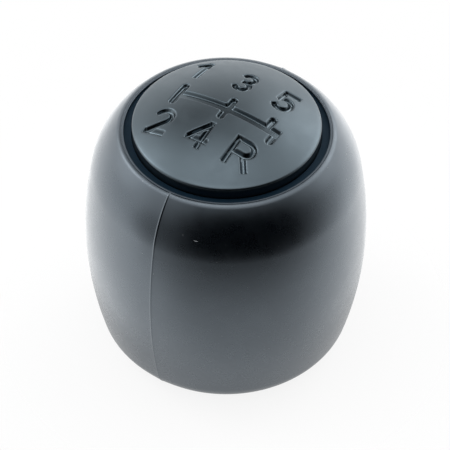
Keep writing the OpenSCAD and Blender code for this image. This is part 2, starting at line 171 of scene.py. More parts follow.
# materials
noiseReach = (0.3, 0.7)      # between these lies most of a noise
noiseValues = {              # scale per millimetre, detail, roughness
    "cloud": (0.11, 4, 0.6),
    "smear": (0.35, 5, 0.65),
    "wave": (0.16, 1, 0.4),
    "drawn": (5.0, 3, 0.6),
}
grainDetail = (2, 0.5)
plasticValues = {            # grain counts per millimetre, heights are millimetres
    "softGrip": {
        "dark": (0.0, 0.0006, 0.0018), "light": (0.0004, 0.0014, 0.0032), "roughness": (0.25, 0.31),
        "grain": 9.0, "grainHeight": 0.0012, "waveHeight": 0.03,
        "ior": 1.7, "specular": 1.0, "coat": 0.25, "coatRoughness": 0.18, "tint": (0.72, 0.865, 1.0),
    },
    "capPlastic": {
        "dark": (0.0004, 0.0008, 0.0014), "light": (0.001, 0.0016, 0.0026), "roughness": (0.36, 0.44),
        "grain": 11.0, "grainHeight": 0.002, "waveHeight": 0.02,
        "ior": 1.65, "specular": 1.0, "coat": 0.0, "coatRoughness": 0.3, "tint": (0.68, 0.87, 1.0),
    },
    "collarPlastic": {
        "dark": (0.015, 0.019, 0.024), "light": (0.022, 0.027, 0.034), "roughness": (0.40, 0.48),
        "grain": 12.0, "grainHeight": 0.0015, "waveHeight": 0.01,
        "ior": 1.7, "specular": 1.0, "coat": 0.0, "coatRoughness": 0.3, "tint": (0.72, 0.865, 1.0),
    },
    "corePlastic": {
        "dark": (0.002, 0.009, 0.018), "light": (0.004, 0.014, 0.026), "roughness": (0.48, 0.62),
        "grain": 10.0, "grainHeight": 0.004, "waveHeight": 0.02,
        "ior": 1.4, "specular": 0.35, "coat": 0.0, "coatRoughness": 0.3, "tint": (0.45, 0.75, 1.0),
    },
    "sleeveNylon": {
        "dark": (0.60, 0.57, 0.48), "light": (0.68, 0.65, 0.55), "roughness": (0.36, 0.5),
        "grain": 6.0, "grainHeight": 0.003, "waveHeight": 0.02,
        "ior": 1.5, "specular": 0.5, "coat": 0.0, "coatRoughness": 0.3, "tint": (1.0, 1.0, 1.0),
    },
}


def mouldedPlastic(name):
    # satin moulding: fine grain, slow waves in the surface, uneven gloss
    v = plasticValues[name]
    material, tree, shader = newMaterial(name)
    place = inMillimetres(tree)
    cloud = addNoise(tree, place, *noiseValues["cloud"])
    smear = addNoise(tree, place, *noiseValues["smear"])
    wave = addNoise(tree, place, *noiseValues["wave"])
    grain = addNoise(tree, place, v["grain"], *grainDetail)
    tree.links.new(mixColours(tree, cloud, v["dark"], v["light"]), shader.inputs["Base Color"])
    tree.links.new(spread(tree, smear, *v["roughness"]), shader.inputs["Roughness"])
    waved = addBump(tree, wave, v["waveHeight"])
    tree.links.new(addBump(tree, grain, v["grainHeight"], waved), shader.inputs["Normal"])
    for label, key in (
        ("IOR", "ior"), ("Specular IOR Level", "specular"),
        ("Coat Weight", "coat"), ("Coat Roughness", "coatRoughness"),
    ):
        shader.inputs[label].default_value = v[key]
    shader.inputs["Specular Tint"].default_value = (*v["tint"], 1)
    return material


softGrip, capPlastic, collarPlastic, corePlastic, sleeveNylon = map(mouldedPlastic, plasticValues)

wearValues = {
    "smoothing": 0.5,        # share of the roughness that full wear takes away
    "lipInner": 0.0192,      # metres from the axis, up to here the lip is dullest
    "lipOuter": 0.0215,
    "lipDulling": 1.45,
}


def scaleRoughness(material, share):
    tree = material.node_tree
    roughness = tree.nodes["Principled BSDF"].inputs["Roughness"]
    tree.links.new(fieldMath(tree, "MULTIPLY", roughness.links[0].from_socket, share), roughness)


def smoothWhereWorn(material, v):
    # the piece's own attribute says how far its surface is smoothed, from 0 to 1
    tree = material.node_tree
    worn = addNode(tree, "ShaderNodeAttribute", attribute_name="worn").outputs["Fac"]
    scaleRoughness(material, fieldMath(tree, "MULTIPLY_ADD", worn, -v["smoothing"], 1.0))


def dullLip(material, v):
    # the grip is duller round its lip
    tree = material.node_tree
    radius = axisDistance(tree, addNode(tree, "ShaderNodeTexCoord").outputs["Object"])
    share = smoothRange(tree, radius, v["lipInner"], v["lipOuter"], v["lipDulling"], 1.0)
    scaleRoughness(material, share)


smoothWhereWorn(capPlastic, wearValues)
dullLip(softGrip, wearValues)

steelValues = {"dark": (0.46, 0.47, 0.49), "light": (0.6, 0.61, 0.63), "roughness": (0.22, 0.38)}


def springSteel(v):
    material, tree, shader = newMaterial("springSteel")
    drawn = addNoise(tree, inMillimetres(tree), *noiseValues["drawn"])
    tree.links.new(mixColours(tree, drawn, v["dark"], v["light"]), shader.inputs["Base Color"])
    tree.links.new(spread(tree, drawn, *v["roughness"]), shader.inputs["Roughness"])
    shader.inputs["Metallic"].default_value = 1.0
    return material


def paint(objectToPaint, material):
    objectToPaint.data.materials.clear()
    objectToPaint.data.materials.append(material)


for nodeName, material in (
    ("core", corePlastic),
    ("lever_sleeve", sleeveNylon),
    ("retaining_clip", springSteel(steelValues)),
):
    paint(nodes[nodeName], material)


# geometry nodes helpers
def newTree(name, numbers):
    # a tree with one geometry input and named number inputs
    tree = bpy.data.node_groups.new(name, "GeometryNodeTree")
    tree.interface.new_socket("Geometry", in_out="INPUT", socket_type="NodeSocketGeometry")
    for label, number in numbers.items():
        kind = "NodeSocketInt" if isinstance(number, int) else "NodeSocketFloat"
        tree.interface.new_socket(label, in_out="INPUT", socket_type=kind).default_value = number
    tree.interface.new_socket("Geometry", in_out="OUTPUT", socket_type="NodeSocketGeometry")
    return tree, addNode(tree, "NodeGroupInput").outputs, addNode(tree, "NodeGroupOutput")


def endTree(tree, geometry, material, end):
    realize = addNode(tree, "GeometryNodeRealizeInstances")
    setMaterial = addNode(tree, "GeometryNodeSetMaterial")
    setMaterial.inputs["Material"].default_value = material
    tree.links.new(geometry, realize.inputs[0])
    tree.links.new(realize.outputs[0], setMaterial.inputs["Geometry"])
    tree.links.new(setMaterial.outputs[0], end.inputs[0])


def growTree(piece, tree, numbers):
    # sets the named inputs, evaluates the tree and keeps the result as a plain mesh
    modifier = piece.modifiers.new(tree.name, "NODES")
    modifier.node_group = tree
    for item in tree.interface.items_tree:
        if item.item_type == "SOCKET" and item.in_out == "INPUT" and item.name in numbers:
            modifier[item.identifier] = numbers[item.name]
    evaluated = piece.evaluated_get(bpy.context.evaluated_depsgraph_get())
    mesh = bpy.data.meshes.new_from_object(evaluated)
    piece.modifiers.remove(modifier)
    piece.data = mesh
    mesh.name = piece.name


# outlines in the plane of radius and height
def arc(middle, radius, start, end, steps):
    turns = [math.radians(start + (end - start) * i / steps) for i in range(steps + 1)]
    return [(middle[0] + radius * math.cos(t), middle[1] + radius * math.sin(t)) for t in turns]


def meshObject(name, vertices, faces, smooth=True):
    mesh = bpy.data.meshes.new(name)
    mesh.from_pydata(vertices, [], faces)
    mesh.validate()
    if smooth:
        mesh.shade_smooth()
    made = bpy.data.objects.new(name, mesh)
    bpy.context.scene.collection.objects.link(made)
    return made


# grip
gripValues = {
    "bellyRadius": 25.5,
    "bellyHeight": 23.5,
    "sideArc": 80.0,
    "baseArc": 6.0,
    "shoulderArc": 16.7,
    "shoulderHeight": 38.5,
    "lipArc": 1.5,
    "lipCrestOut": 0.3,      # crest of the lip, out from the groove's edge
    "grooveRadius": 18.15,
    "collarRadius": 18.5,
    "collarRounding": 0.12,
    "edgeDepth": 1.9,
    "flangeRadius": 20.0,
    "flangeHeight": 0.8,
    "deckHeight": 43.41,
    "deckThickness": 2.0,
    "coreRadius": 18.0,
    "keyRings": (9.5, 19.5, 29.5),
    "keyRingOut": 1.4,
    "keyRingHeight": 1.6,
    "mouthRadius": 16.4,
    "wrap": 1.2,
    "arcSteps": 36,
    "lipSteps": 12,
    "edgeSteps": 5,
}
turningValues = {              # inputs of the tree, in metres
    "Rail Radius": 0.018,
    "Round Steps": 288,
    "Crowding": 0.46,          # draws the steps together at the parting line, under 0.5
    "Seam Height": 0.00008,
    "Seam Width": 0.00036,
    "Seam Foot": 0.0006,       # height above the base where the line starts
    "Faint Share": 0.4,        # its height on the side, as a share of that on the shoulder
    "Faint Below": 0.0365,
    "Full Above": 0.0395,
    "Half Dip": 0.00006,       # each half of the mould lies this much low beside the line
    "Dip Reach": 0.0024,
    "Skin Radius": 0.01845,    # only what lies outside this radius carries the line
}


def gripArcs(v):
    side = (v["bellyRadius"] - v["sideArc"], v["bellyHeight"])
    reach = v["sideArc"] - v["baseArc"]
    drop = v["bellyHeight"] - v["baseArc"]
    base = (side[0] + math.sqrt(reach ** 2 - drop ** 2), v["baseArc"])
    baseTurn = math.degrees(math.atan2(base[1] - side[1], base[0] - side[0]))
    shoulderTurn = math.degrees(math.asin((v["shoulderHeight"] - v["bellyHeight"]) / v["sideArc"]))
    inward = v["sideArc"] - v["shoulderArc"]
    shoulder = (
        side[0] + inward * math.cos(math.radians(shoulderTurn)),
        side[1] + inward * math.sin(math.radians(shoulderTurn)),
    )
    crest = v["grooveRadius"] + v["lipCrestOut"]
    lipReach = v["shoulderArc"] - v["lipArc"]
    lipTurn = math.degrees(math.acos((crest - shoulder[0]) / lipReach))
    lip = (crest, shoulder[1] + lipReach * math.sin(math.radians(lipTurn)))
    return side, base, shoulder, lip, baseTurn, shoulderTurn, lipTurn


def onLip(v, radius):
    # angle on the lip's rounding and height there
    lip = gripArcs(v)[3]
    turn = math.acos((radius - lip[0]) / v["lipArc"])
    return math.degrees(turn), lip[1] + v["lipArc"] * math.sin(turn)


def gripLine(v):
    # the visible curve from the flat base up the side, over the lip and round its inner edge
    side, base, shoulder, lip, baseTurn, shoulderTurn, lipTurn = gripArcs(v)
    steps = v["arcSteps"]
    edge = v["collarRounding"]
    edgeTurn, edgeHeight = onLip(v, v["collarRadius"] + edge)
    line = arc(base, v["baseArc"], -90, baseTurn, steps)
    line += arc(side, v["sideArc"], baseTurn, shoulderTurn, steps)[1:]
    line += arc(shoulder, v["shoulderArc"], shoulderTurn, lipTurn, steps)[1:]
    line += arc(lip, v["lipArc"], lipTurn, edgeTurn, v["lipSteps"])[1:]
    return line + arc((v["collarRadius"] + edge, edgeHeight - edge), edge, 90, 180, v["edgeSteps"])[1:]


def gripSection(v):
    deckUnder = v["deckHeight"] - v["deckThickness"]
    core = v["coreRadius"]
    inner = [
        (v["collarRadius"], onLip(v, v["collarRadius"])[1] - v["edgeDepth"]),
        (v["flangeRadius"], v["deckHeight"] + v["flangeHeight"]),
        (v["flangeRadius"], v["deckHeight"]),
        (core, deckUnder),
    ]
    for low in reversed(v["keyRings"]):
        high = low + v["keyRingHeight"]
        out = core + v["keyRingOut"]
        inner += [(core, high), (out, high), (out, low), (core, low)]
    inner += [(core, v["wrap"]), (v["mouthRadius"], v["wrap"]), (v["mouthRadius"], 0.0)]
    return gripLine(v) + inner


def crowdedCircle(tree, given, parts):
    # the circle's points move round, so that they stand close at the front and the rear
    rail = addNode(tree, "GeometryNodeCurvePrimitiveCircle")
    tree.links.new(given["Round Steps"], rail.inputs["Resolution"])
    tree.links.new(given["Rail Radius"], rail.inputs["Radius"])
    turn = fieldMath(tree, "ARCTAN2", parts["Y"], parts["X"])
    swing = fieldMath(tree, "SINE", fieldMath(tree, "MULTIPLY", turn, 2.0))
    moved = fieldMath(tree, "MULTIPLY_ADD", swing, given["Crowding"], turn)
    place = addNode(tree, "ShaderNodeCombineXYZ")
    for axis, operation in (("X", "COSINE"), ("Y", "SINE")):
        along = fieldMath(tree, operation, moved)
        tree.links.new(fieldMath(tree, "MULTIPLY", along, given["Rail Radius"]), place.inputs[axis])
    crowd = addNode(tree, "GeometryNodeSetPosition")
    tree.links.new(rail.outputs["Curve"], crowd.inputs["Geometry"])
    tree.links.new(place.outputs[0], crowd.inputs["Position"])
    return crowd.outputs[0]


def partingLine(tree, given, position, parts):
    # height of a fine ridge, with each half of the mould a little low beside it
    across = fieldMath(tree, "ABSOLUTE", parts["X"])
    share = fieldMath(tree, "DIVIDE", across, fieldMath(tree, "MULTIPLY", given["Seam Width"], 0.5))
    bell = fieldMath(tree, "SUBTRACT", 1.0, fieldMath(tree, "POWER", share, 2.0))
    ridge = fieldMath(tree, "MULTIPLY", fieldMath(tree, "MAXIMUM", bell, 0.0), given["Seam Height"])
    reach = fieldMath(tree, "DIVIDE", across, given["Dip Reach"])
    fall = fieldMath(tree, "EXPONENT", fieldMath(tree, "SUBTRACT", 1.0, reach))
    dip = fieldMath(tree, "MULTIPLY", fieldMath(tree, "MULTIPLY", reach, fall), given["Half Dip"])
    # the ridge is faint on the side and full on the shoulder
    band = fieldMath(tree, "SUBTRACT", given["Full Above"], given["Faint Below"])
    up = fieldMath(tree, "DIVIDE", fieldMath(tree, "SUBTRACT", parts["Z"], given["Faint Below"]), band)
    up = fieldMath(tree, "MAXIMUM", fieldMath(tree, "MINIMUM", up, 1.0), given["Faint Share"])
    line = fieldMath(tree, "SUBTRACT", fieldMath(tree, "MULTIPLY", ridge, up), dip)
    # only the outer skin carries it, from just above the base
    onSkin = fieldMath(tree, "GREATER_THAN", axisDistance(tree, position), given["Skin Radius"])
    footed = fieldMath(tree, "DIVIDE", parts["Z"], given["Seam Foot"])
    footed = fieldMath(tree, "MAXIMUM", fieldMath(tree, "MINIMUM", footed, 1.0), 0.0)
    return fieldMath(tree, "MULTIPLY", line, fieldMath(tree, "MULTIPLY", onSkin, footed))


def turningTree(material):
    # turns a closed section about the upright axis and raises the parting line on it
    tree, given, end = newTree("turning", turningValues)
    position = addNode(tree, "GeometryNodeInputPosition").outputs[0]
    parts = addNode(tree, "ShaderNodeSeparateXYZ")
    tree.links.new(position, parts.inputs[0])
    section = addNode(tree, "GeometryNodeMeshToCurve")
    tree.links.new(given["Geometry"], section.inputs[0])
    sweep = addNode(tree, "GeometryNodeCurveToMesh")
    tree.links.new(crowdedCircle(tree, given, parts.outputs), sweep.inputs["Curve"])
    tree.links.new(section.outputs[0], sweep.inputs["Profile Curve"])
    lift = addNode(tree, "ShaderNodeVectorMath", operation="SCALE")
    tree.links.new(addNode(tree, "GeometryNodeInputNormal").outputs[0], lift.inputs[0])
    tree.links.new(partingLine(tree, given, position, parts.outputs), lift.inputs["Scale"])
    lifted = addNode(tree, "GeometryNodeSetPosition")
    tree.links.new(sweep.outputs[0], lifted.inputs["Geometry"])
    tree.links.new(lift.outputs[0], lifted.inputs["Offset"])
    smooth = addNode(tree, "GeometryNodeSetShadeSmooth")
    tree.links.new(lifted.outputs[0], smooth.inputs["Geometry"])
    endTree(tree, smooth.outputs[0], material, end)
    return tree


def sectionObject(name, section, railRadius):
    # the section lies flat, as radius past the rail and height downwards, the way a sweep reads it
    points = [(r * mm - railRadius, -z * mm, 0) for r, z in reversed(section)]
    edges = [(i, (i + 1) % len(points)) for i in range(len(points))]
    mesh = bpy.data.meshes.new(name)
    mesh.from_pydata(points, edges, [])
    made = bpy.data.objects.new(name, mesh)
    bpy.context.scene.collection.objects.link(made)
    return made


def collarSection(v, ring):
    # the collar's top carries on the lip's rounding and ends in a small rounding at the groove
    edge = ring["edgeRounding"]
    inner = v["grooveRadius"] - ring["skin"]
    outerTurn = onLip(v, v["collarRadius"] - ring["skin"])[0]
    edgeTurn, edgeHeight = onLip(v, inner + edge)
    lip = gripArcs(v)[3]
    top = arc(lip, v["lipArc"] + ring["skin"], outerTurn, edgeTurn, ring["topSteps"])
    rounding = arc((inner + edge, top[-1][1] - edge), edge, 90, 180, v["edgeSteps"])[1:]
    foot = edgeHeight - ring["depth"]
    return top + rounding + [(inner, foot), (v["collarRadius"] - ring["skin"], foot)]


grip = sectionObject("gripSkin", gripSection(gripValues), turningValues["Rail Radius"])
growTree(grip, turningTree(softGrip), turningValues)
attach(grip, "root")
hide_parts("grip")

ringValues = {"edgeRounding": 0.08, "skin": 0.008, "depth": 0.45, "topSteps": 4}
ringLine = collarSection(gripValues, ringValues)
collar = sectionObject("collarRing", ringLine, turningValues["Rail Radius"])
growTree(collar, turningTree(collarPlastic), {**turningValues, "Seam Height": 0.0, "Half Dip": 0.0})
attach(collar, "root")
print("grip turned:", len(grip.data.polygons), "faces")


# shift pattern, as distances to the strokes
patternValues = {
    "glyphHeight": 5.8,
    "glyphStroke": 0.85,
    "crossWidth": 1.6,
    "laneWidth": 1.15,
    "laneLength": 2.8,
    "lane12": -9.8,
    "lane34": 0.1,
    "lane5": 8.0,
    "laneR": 9.85,
    "frontRow": 8.15,
    "rearRow": 7.25,
    "offsets": {"1": 0.05, "2": 0.85, "3": -1.2, "4": -1.05, "5": -1.0, "R": -2.55},
    "depth": 0.7,
    "rolledOut": 0.30,       # how far the rolled edge reaches out past the stroke
    "wallIn": 0.29,          # how far in the wall has rounded into the floor
    "wallLean": 1.3,         # above 1 the roll is gentle and the wall below it steep
    "innerCorner": 0.5,
}


def numeralPaths(v):
    # paths in units of half the numeral's height
    half = (v["glyphHeight"] - v["glyphStroke"]) / 2
    end = v["glyphHeight"] / 2 / half
    three, five, bowl = 0.485, 0.605, 0.545    # radii: upper bowl of the 3, bowls of the 5 and the R
    return half, {
        "1": [[(-0.71, 0.47), (0, 1)], [(0, end), (0, -end)]],
        "2": [arc((0, 0.415), 0.585, 168, -38, 12) + [(-0.61, -1)], [(-0.77, -1), (0.75, -1)]],
        "3": [
            arc((0, 1 - three), three, 160, -90, 12) + [(-0.2, 1 - 2 * three)],
            [(-0.2, 1 - 2 * three)] + arc((0, -three), 1 - three, 90, -160, 12),
        ],
        "4": [[(0.34, 1), (-0.71, -0.5)], [(-0.83, -0.5), (0.79, -0.5)], [(0.34, end), (0.34, -end)]],
        "5": [
            [(0.65, 1), (-0.44, 1), arc((0, five - 1), five, 140, 140, 1)[0]],
            arc((0, five - 1), five, 146, -152, 14),
        ],
        "R": [
            [(-0.77, end), (-0.77, -end)],
            [(-0.77, 1)] + arc((0.14, 1 - bowl), bowl, 90, -90, 10) + [(-0.77, 1 - 2 * bowl)],
            [(0.14, 1 - 2 * bowl), (0.89, -end)],
        ],
    }


def strokeDistance(x, y, path, width, roundEnds=False):
    # distance outside the edge of a stroke, negative inside it
    best = np.full(x.shape, 1e9)
    last = len(path) - 2
    for i in range(last + 1):
        p, q = np.array(path[i], float), np.array(path[i + 1], float)
        length = np.linalg.norm(q - p)
        u = (q - p) / length
        along = (x - p[0]) * u[0] + (y - p[1]) * u[1]
        across = np.abs(-(x - p[0]) * u[1] + (y - p[1]) * u[0])
        beyond = np.maximum(-along, along - length)
        roundPart = np.hypot(np.maximum(beyond, 0), across) - width / 2
        side = across - width / 2
        inside = np.minimum(np.maximum(beyond, side), 0)
        flat = np.hypot(np.maximum(beyond, 0), np.maximum(side, 0)) + inside
        isFlat = np.zeros(x.shape, bool)
        if not roundEnds:
            isFlat |= (along < 0) & (i == 0)
            isFlat |= (along > length) & (i == last)
        best = np.minimum(best, np.where(isFlat, flat, roundPart))
    return best


def softUnion(a, b, k):
    # union of two distances, with a corner rounded over about k
    h = np.clip(0.5 + 0.5 * (b - a) / k, 0, 1)
    return b * (1 - h) + a * h - k * h * (1 - h)


def patternDistance(x, y, v):
    reach = v["laneLength"] - v["laneWidth"] / 2
    crossEnd = v["laneR"] + v["laneWidth"] / 2
    cross = strokeDistance(x, y, [(v["lane12"], 0), (crossEnd, 0)], v["crossWidth"])
    middleLane = [(v["lane34"], -reach), (v["lane34"], reach)]
    middle = strokeDistance(x, y, middleLane, v["laneWidth"], True)
    best = softUnion(cross, middle, v["innerCorner"])
    for path in (
        [(v["lane12"], -reach), (v["lane12"], reach)],
        [(v["lane5"], 0), (v["lane5"], reach)],
        [(v["laneR"], 0), (v["laneR"], -reach)],
    ):
        best = np.minimum(best, strokeDistance(x, y, path, v["laneWidth"], True))
    half, paths = numeralPaths(v)
    front, rear = v["frontRow"], -v["rearRow"]
    places = {
        "1": (v["lane12"], front), "3": (v["lane34"], front), "5": (v["lane5"], front),
        "2": (v["lane12"], rear), "4": (v["lane34"], rear), "R": (v["laneR"], rear),
    }
    for glyph, (px, py) in places.items():
        px += v["offsets"][glyph]
        for path in paths[glyph]:
            moved = [(px + half * a, py + half * b) for a, b in path]
            best = np.minimum(best, strokeDistance(x, y, moved, v["glyphStroke"]))
    return best


def engravedDepth(x, y, v):
    # from 0 on the dome to the full depth in the floor of a stroke
    t = np.clip((v["rolledOut"] - patternDistance(x, y, v)) / (v["rolledOut"] + v["wallIn"]), 0, 1)
    return v["depth"] * (t * t * (3 - 2 * t)) ** v["wallLean"]


# cap
capValues = {
    "radius": 16.65,
    "edgeRadius": 0.45,
    "proud": 1.55,           # edge of the dome above the groove's edge
    "domeRise": 3.7,
    "thickness": 2.2,
    "skirtThickness": 1.4,
    "roundSteps": 600,
    "domeSteps": 126,
    "edgeSteps": 8,
    "innerSteps": 12,
    "wornFrom": 15.7,        # radii between which the rim turns smoother
    "wornFull": 16.3,
    "rimWorn": 0.5,
}


def capRows(v, rim, deck):
    # rows of radius and height from the crown, over the edge, down the skirt and back inside
    edgeHeight = rim + v["proud"]
    sphere = (v["radius"] ** 2 + v["domeRise"] ** 2) / (2 * v["domeRise"])
    middle = edgeHeight + v["domeRise"] - sphere
    edgeX = v["radius"] - v["edgeRadius"]
    edgeZ = middle + math.sqrt((sphere - v["edgeRadius"]) ** 2 - edgeX ** 2)
    meet = math.degrees(math.atan2(edgeZ - middle, edgeX))
    meetX = edgeX + v["edgeRadius"] * math.cos(math.radians(meet))
    domeRadii = [meetX * i / v["domeSteps"] for i in range(1, v["domeSteps"])]
    dome = [(r, middle + math.sqrt(sphere ** 2 - r ** 2)) for r in domeRadii]
    edge = arc((edgeX, edgeZ), v["edgeRadius"], meet, 0, v["edgeSteps"])
    inR = v["radius"] - v["skirtThickness"]
    under = sphere - v["thickness"]
    skirt = [(v["radius"], deck), (inR, deck)]
    innerRadii = [inR * (1 - i / v["innerSteps"]) for i in range(v["innerSteps"])]
    inside = [(r, middle + math.sqrt(under ** 2 - r ** 2)) for r in innerRadii]
    crown = middle + sphere
    return dome, edge + skirt + inside, crown, middle + under


def buildCap(v, pattern, rim, deck):
    # rings of points about the axis, closed by one point on top and one underneath
    dome, rest, crown, underCrown = capRows(v, rim, deck)
    turns = 2 * np.pi * np.arange(v["roundSteps"]) / v["roundSteps"]
    rows = []
    for r, z in dome:
        x, y = r * np.cos(turns), r * np.sin(turns)
        rows.append(np.stack([x, y, z - engravedDepth(x, y, pattern)], 1))
    for r, z in rest:
        rows.append(np.stack([r * np.cos(turns), r * np.sin(turns), np.full(turns.shape, z)], 1))
    axis = np.zeros(1)
    top = crown - engravedDepth(axis, axis, pattern)[0]
    topPoint, underPoint = np.array([[0, 0, top]]), np.array([[0, 0, underCrown]])
    vertices = np.concatenate([topPoint, *rows, underPoint]) * mm
    count, steps = len(rows), v["roundSteps"]
    faces = [(0, 1 + i, 1 + (i + 1) % steps) for i in range(steps)]
    for j in range(count - 1):
        a, b = 1 + j * steps, 1 + (j + 1) * steps
        faces += [(a + i, b + i, b + (i + 1) % steps, a + (i + 1) % steps) for i in range(steps)]
    end = 1 + count * steps
    a = 1 + (count - 1) * steps
    faces += [(end, a + (i + 1) % steps, a + i) for i in range(steps)]
    return meshObject("capDome", vertices.tolist(), faces)


rimHeight = onLip(gripValues, gripValues["grooveRadius"])[1]
cap = buildCap(capValues, patternValues, rimHeight, gripValues["deckHeight"])


# snap legs under the cap
legValues = {
    "outer": 13.4,
    "thickness": 1.5,
    "width": 5.0,
    "hookReach": 0.8,
    "hookHeight": 2.2,
    "hookFace": 1 / 3,       # share of its height that stands upright
    "hookTop": 41.31,
    "top": 48.9,             # inside the dome's wall
    "bevel": 0.12,
    "bevelSteps": 2,
    "count": 4,
}


def legObject(v):
    # one leg as a prism, its hook turned outwards
    out, inn, low = v["outer"], v["outer"] - v["thickness"], v["hookTop"] - v["hookHeight"]
    hooked, faceFoot = out + v["hookReach"], v["hookTop"] - v["hookHeight"] * v["hookFace"]
    line = [(inn, v["top"]), (inn, low), (out, low), (hooked, faceFoot),
            (hooked, v["hookTop"]), (out, v["hookTop"]), (out, v["top"])]
    half, count = v["width"] / 2, len(line)
    vertices = [(r * mm, side * half * mm, z * mm) for side in (-1, 1) for r, z in line]
    faces = [tuple(range(count)), tuple(reversed(range(count, 2 * count)))]
    faces += [(i, i + count, (i + 1) % count + count, (i + 1) % count) for i in range(count)]
    leg = meshObject("capLegs", vertices, faces, smooth=False)
    turned = bmesh.new()
    turned.from_mesh(leg.data)
    bmesh.ops.recalc_face_normals(turned, faces=turned.faces)
    turned.to_mesh(leg.data)
    turned.free()
    bevel = leg.modifiers.new("edges", "BEVEL")
    bevel.width = v["bevel"] * mm
    bevel.segments = v["bevelSteps"]
    return leg


def repeatTree(material):
    # the piece, repeated round the upright axis
    tree, given, end = newTree("repeatRound", {"Count": legValues["count"]})
    points = addNode(tree, "GeometryNodePoints")
    instances = addNode(tree, "GeometryNodeInstanceOnPoints")
    turned = addNode(tree, "GeometryNodeRotateInstances")
    angle = addNode(tree, "ShaderNodeCombineXYZ")
    tree.links.new(given["Count"], points.inputs["Count"])
    tree.links.new(points.outputs[0], instances.inputs["Points"])
    tree.links.new(given["Geometry"], instances.inputs["Instance"])
    step = fieldMath(tree, "DIVIDE", 2 * math.pi, given["Count"])
    index = addNode(tree, "GeometryNodeInputIndex").outputs[0]
    tree.links.new(fieldMath(tree, "MULTIPLY", step, index), angle.inputs["Z"])
    tree.links.new(instances.outputs[0], turned.inputs["Instances"])
    tree.links.new(angle.outputs[0], turned.inputs["Rotation"])
    turned.inputs["Pivot Point"].default_value = (0, 0, 0)
    turned.inputs["Local Space"].default_value = False
    endTree(tree, turned.outputs[0], material, end)
    return tree


def joinInto(piece, part):
    # one mesh from two, the part's object removed
    both = bmesh.new()
    both.from_mesh(piece.data)
    both.from_mesh(part.data)
    both.to_mesh(piece.data)
    both.free()
    bpy.data.objects.remove(part)


def markWorn(piece, v, pattern):
    # the strokes and the rim are smoother than the grained top
    places = np.empty(len(piece.data.vertices) * 3)
    piece.data.vertices.foreach_get("co", places)
    x, y = (places.reshape(-1, 3) / mm).T[:2]
    depth = pattern["rolledOut"] - patternDistance(x, y, pattern)
    stroke = np.clip(depth / pattern["rolledOut"], 0, 1)
    outwards = (np.hypot(x, y) - v["wornFrom"]) / (v["wornFull"] - v["wornFrom"])
    rim = np.clip(outwards, 0, 1) * v["rimWorn"]
    worn = piece.data.attributes.new("worn", "FLOAT", "POINT")
    worn.data.foreach_set("value", np.maximum(stroke, rim))


legs = legObject(legValues)
growTree(legs, repeatTree(capPlastic), {"Count": legValues["count"]})
joinInto(cap, legs)
markWorn(cap, capValues, patternValues)
paint(cap, capPlastic)
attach(cap, "root")
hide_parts("shift_cap")
print("cap built:", len(cap.data.polygons), "faces")


# dust: a few pale specks and lint on the grip
dustValues = {                 # inputs of the tree, in metres
    "Per Square Metre": 15000.0,
    "Speck Radius": 0.000055,
    "Shortest": 0.7,           # length of a speck, in its radii
    "Longest": 8.0,            # added to it for lint
    "Lint Rarity": 16.0,       # the higher, the fewer are long
    "Narrowest": 0.4,
    "Width Spread": 0.7,
    "Thickness": 0.4,
    "Lowest": 0.002,
    "Skin Radius": 0.0188,
    "Seed": 11,
}
dustLook = {
    "dark": (0.34, 0.37, 0.39),
    "light": (0.52, 0.54, 0.56),
    "roughness": (0.7, 0.9),
    "mottle": 2.0,             # per millimetre
}


def dustPaint(v):
    material, tree, shader = newMaterial("dustPaint")
    shade = addNoise(tree, inMillimetres(tree), v["mottle"])
    tree.links.new(mixColours(tree, shade, v["dark"], v["light"]), shader.inputs["Base Color"])
    tree.links.new(spread(tree, shade, *v["roughness"]), shader.inputs["Roughness"])
    return material


def speckSize(tree, given, draw):
    # most specks are short, a few are lint
    size = addNode(tree, "ShaderNodeCombineXYZ")
    stretch = fieldMath(tree, "POWER", draw, given["Lint Rarity"])
    stretch = fieldMath(tree, "MULTIPLY", stretch, given["Longest"])
    width = fieldMath(tree, "MULTIPLY_ADD", draw, given["Width Spread"], given["Narrowest"])
    tree.links.new(fieldMath(tree, "ADD", stretch, given["Shortest"]), size.inputs["X"])
    tree.links.new(width, size.inputs["Y"])
    tree.links.new(given["Thickness"], size.inputs["Z"])
    return size.outputs[0]


def dustTree(material):
    # specks scattered over the outer skin, above its foot
    tree, given, end = newTree("dust", dustValues)
    position = addNode(tree, "GeometryNodeInputPosition").outputs[0]
    parts = addNode(tree, "ShaderNodeSeparateXYZ")
    tree.links.new(position, parts.inputs[0])
    outside = fieldMath(tree, "GREATER_THAN", axisDistance(tree, position), given["Skin Radius"])
    above = fieldMath(tree, "GREATER_THAN", parts.outputs["Z"], given["Lowest"])
    scatter = addNode(tree, "GeometryNodeDistributePointsOnFaces")
    tree.links.new(fieldMath(tree, "MULTIPLY", outside, above), scatter.inputs["Selection"])
    tree.links.new(given["Geometry"], scatter.inputs["Mesh"])
    tree.links.new(given["Per Square Metre"], scatter.inputs["Density"])
    tree.links.new(given["Seed"], scatter.inputs["Seed"])
    draw = addNode(tree, "FunctionNodeRandomValue", data_type="FLOAT")
    tree.links.new(given["Seed"], draw.inputs["Seed"])
    speck = addNode(tree, "GeometryNodeMeshIcoSphere")
    speck.inputs["Subdivisions"].default_value = 1
    tree.links.new(given["Speck Radius"], speck.inputs["Radius"])
    instances = addNode(tree, "GeometryNodeInstanceOnPoints")
    tree.links.new(scatter.outputs["Points"], instances.inputs["Points"])
    tree.links.new(scatter.outputs["Rotation"], instances.inputs["Rotation"])
    tree.links.new(speck.outputs[0], instances.inputs["Instance"])
    tree.links.new(speckSize(tree, given, draw.outputs[1]), instances.inputs["Scale"])
    endTree(tree, instances.outputs[0], material, end)
    return tree


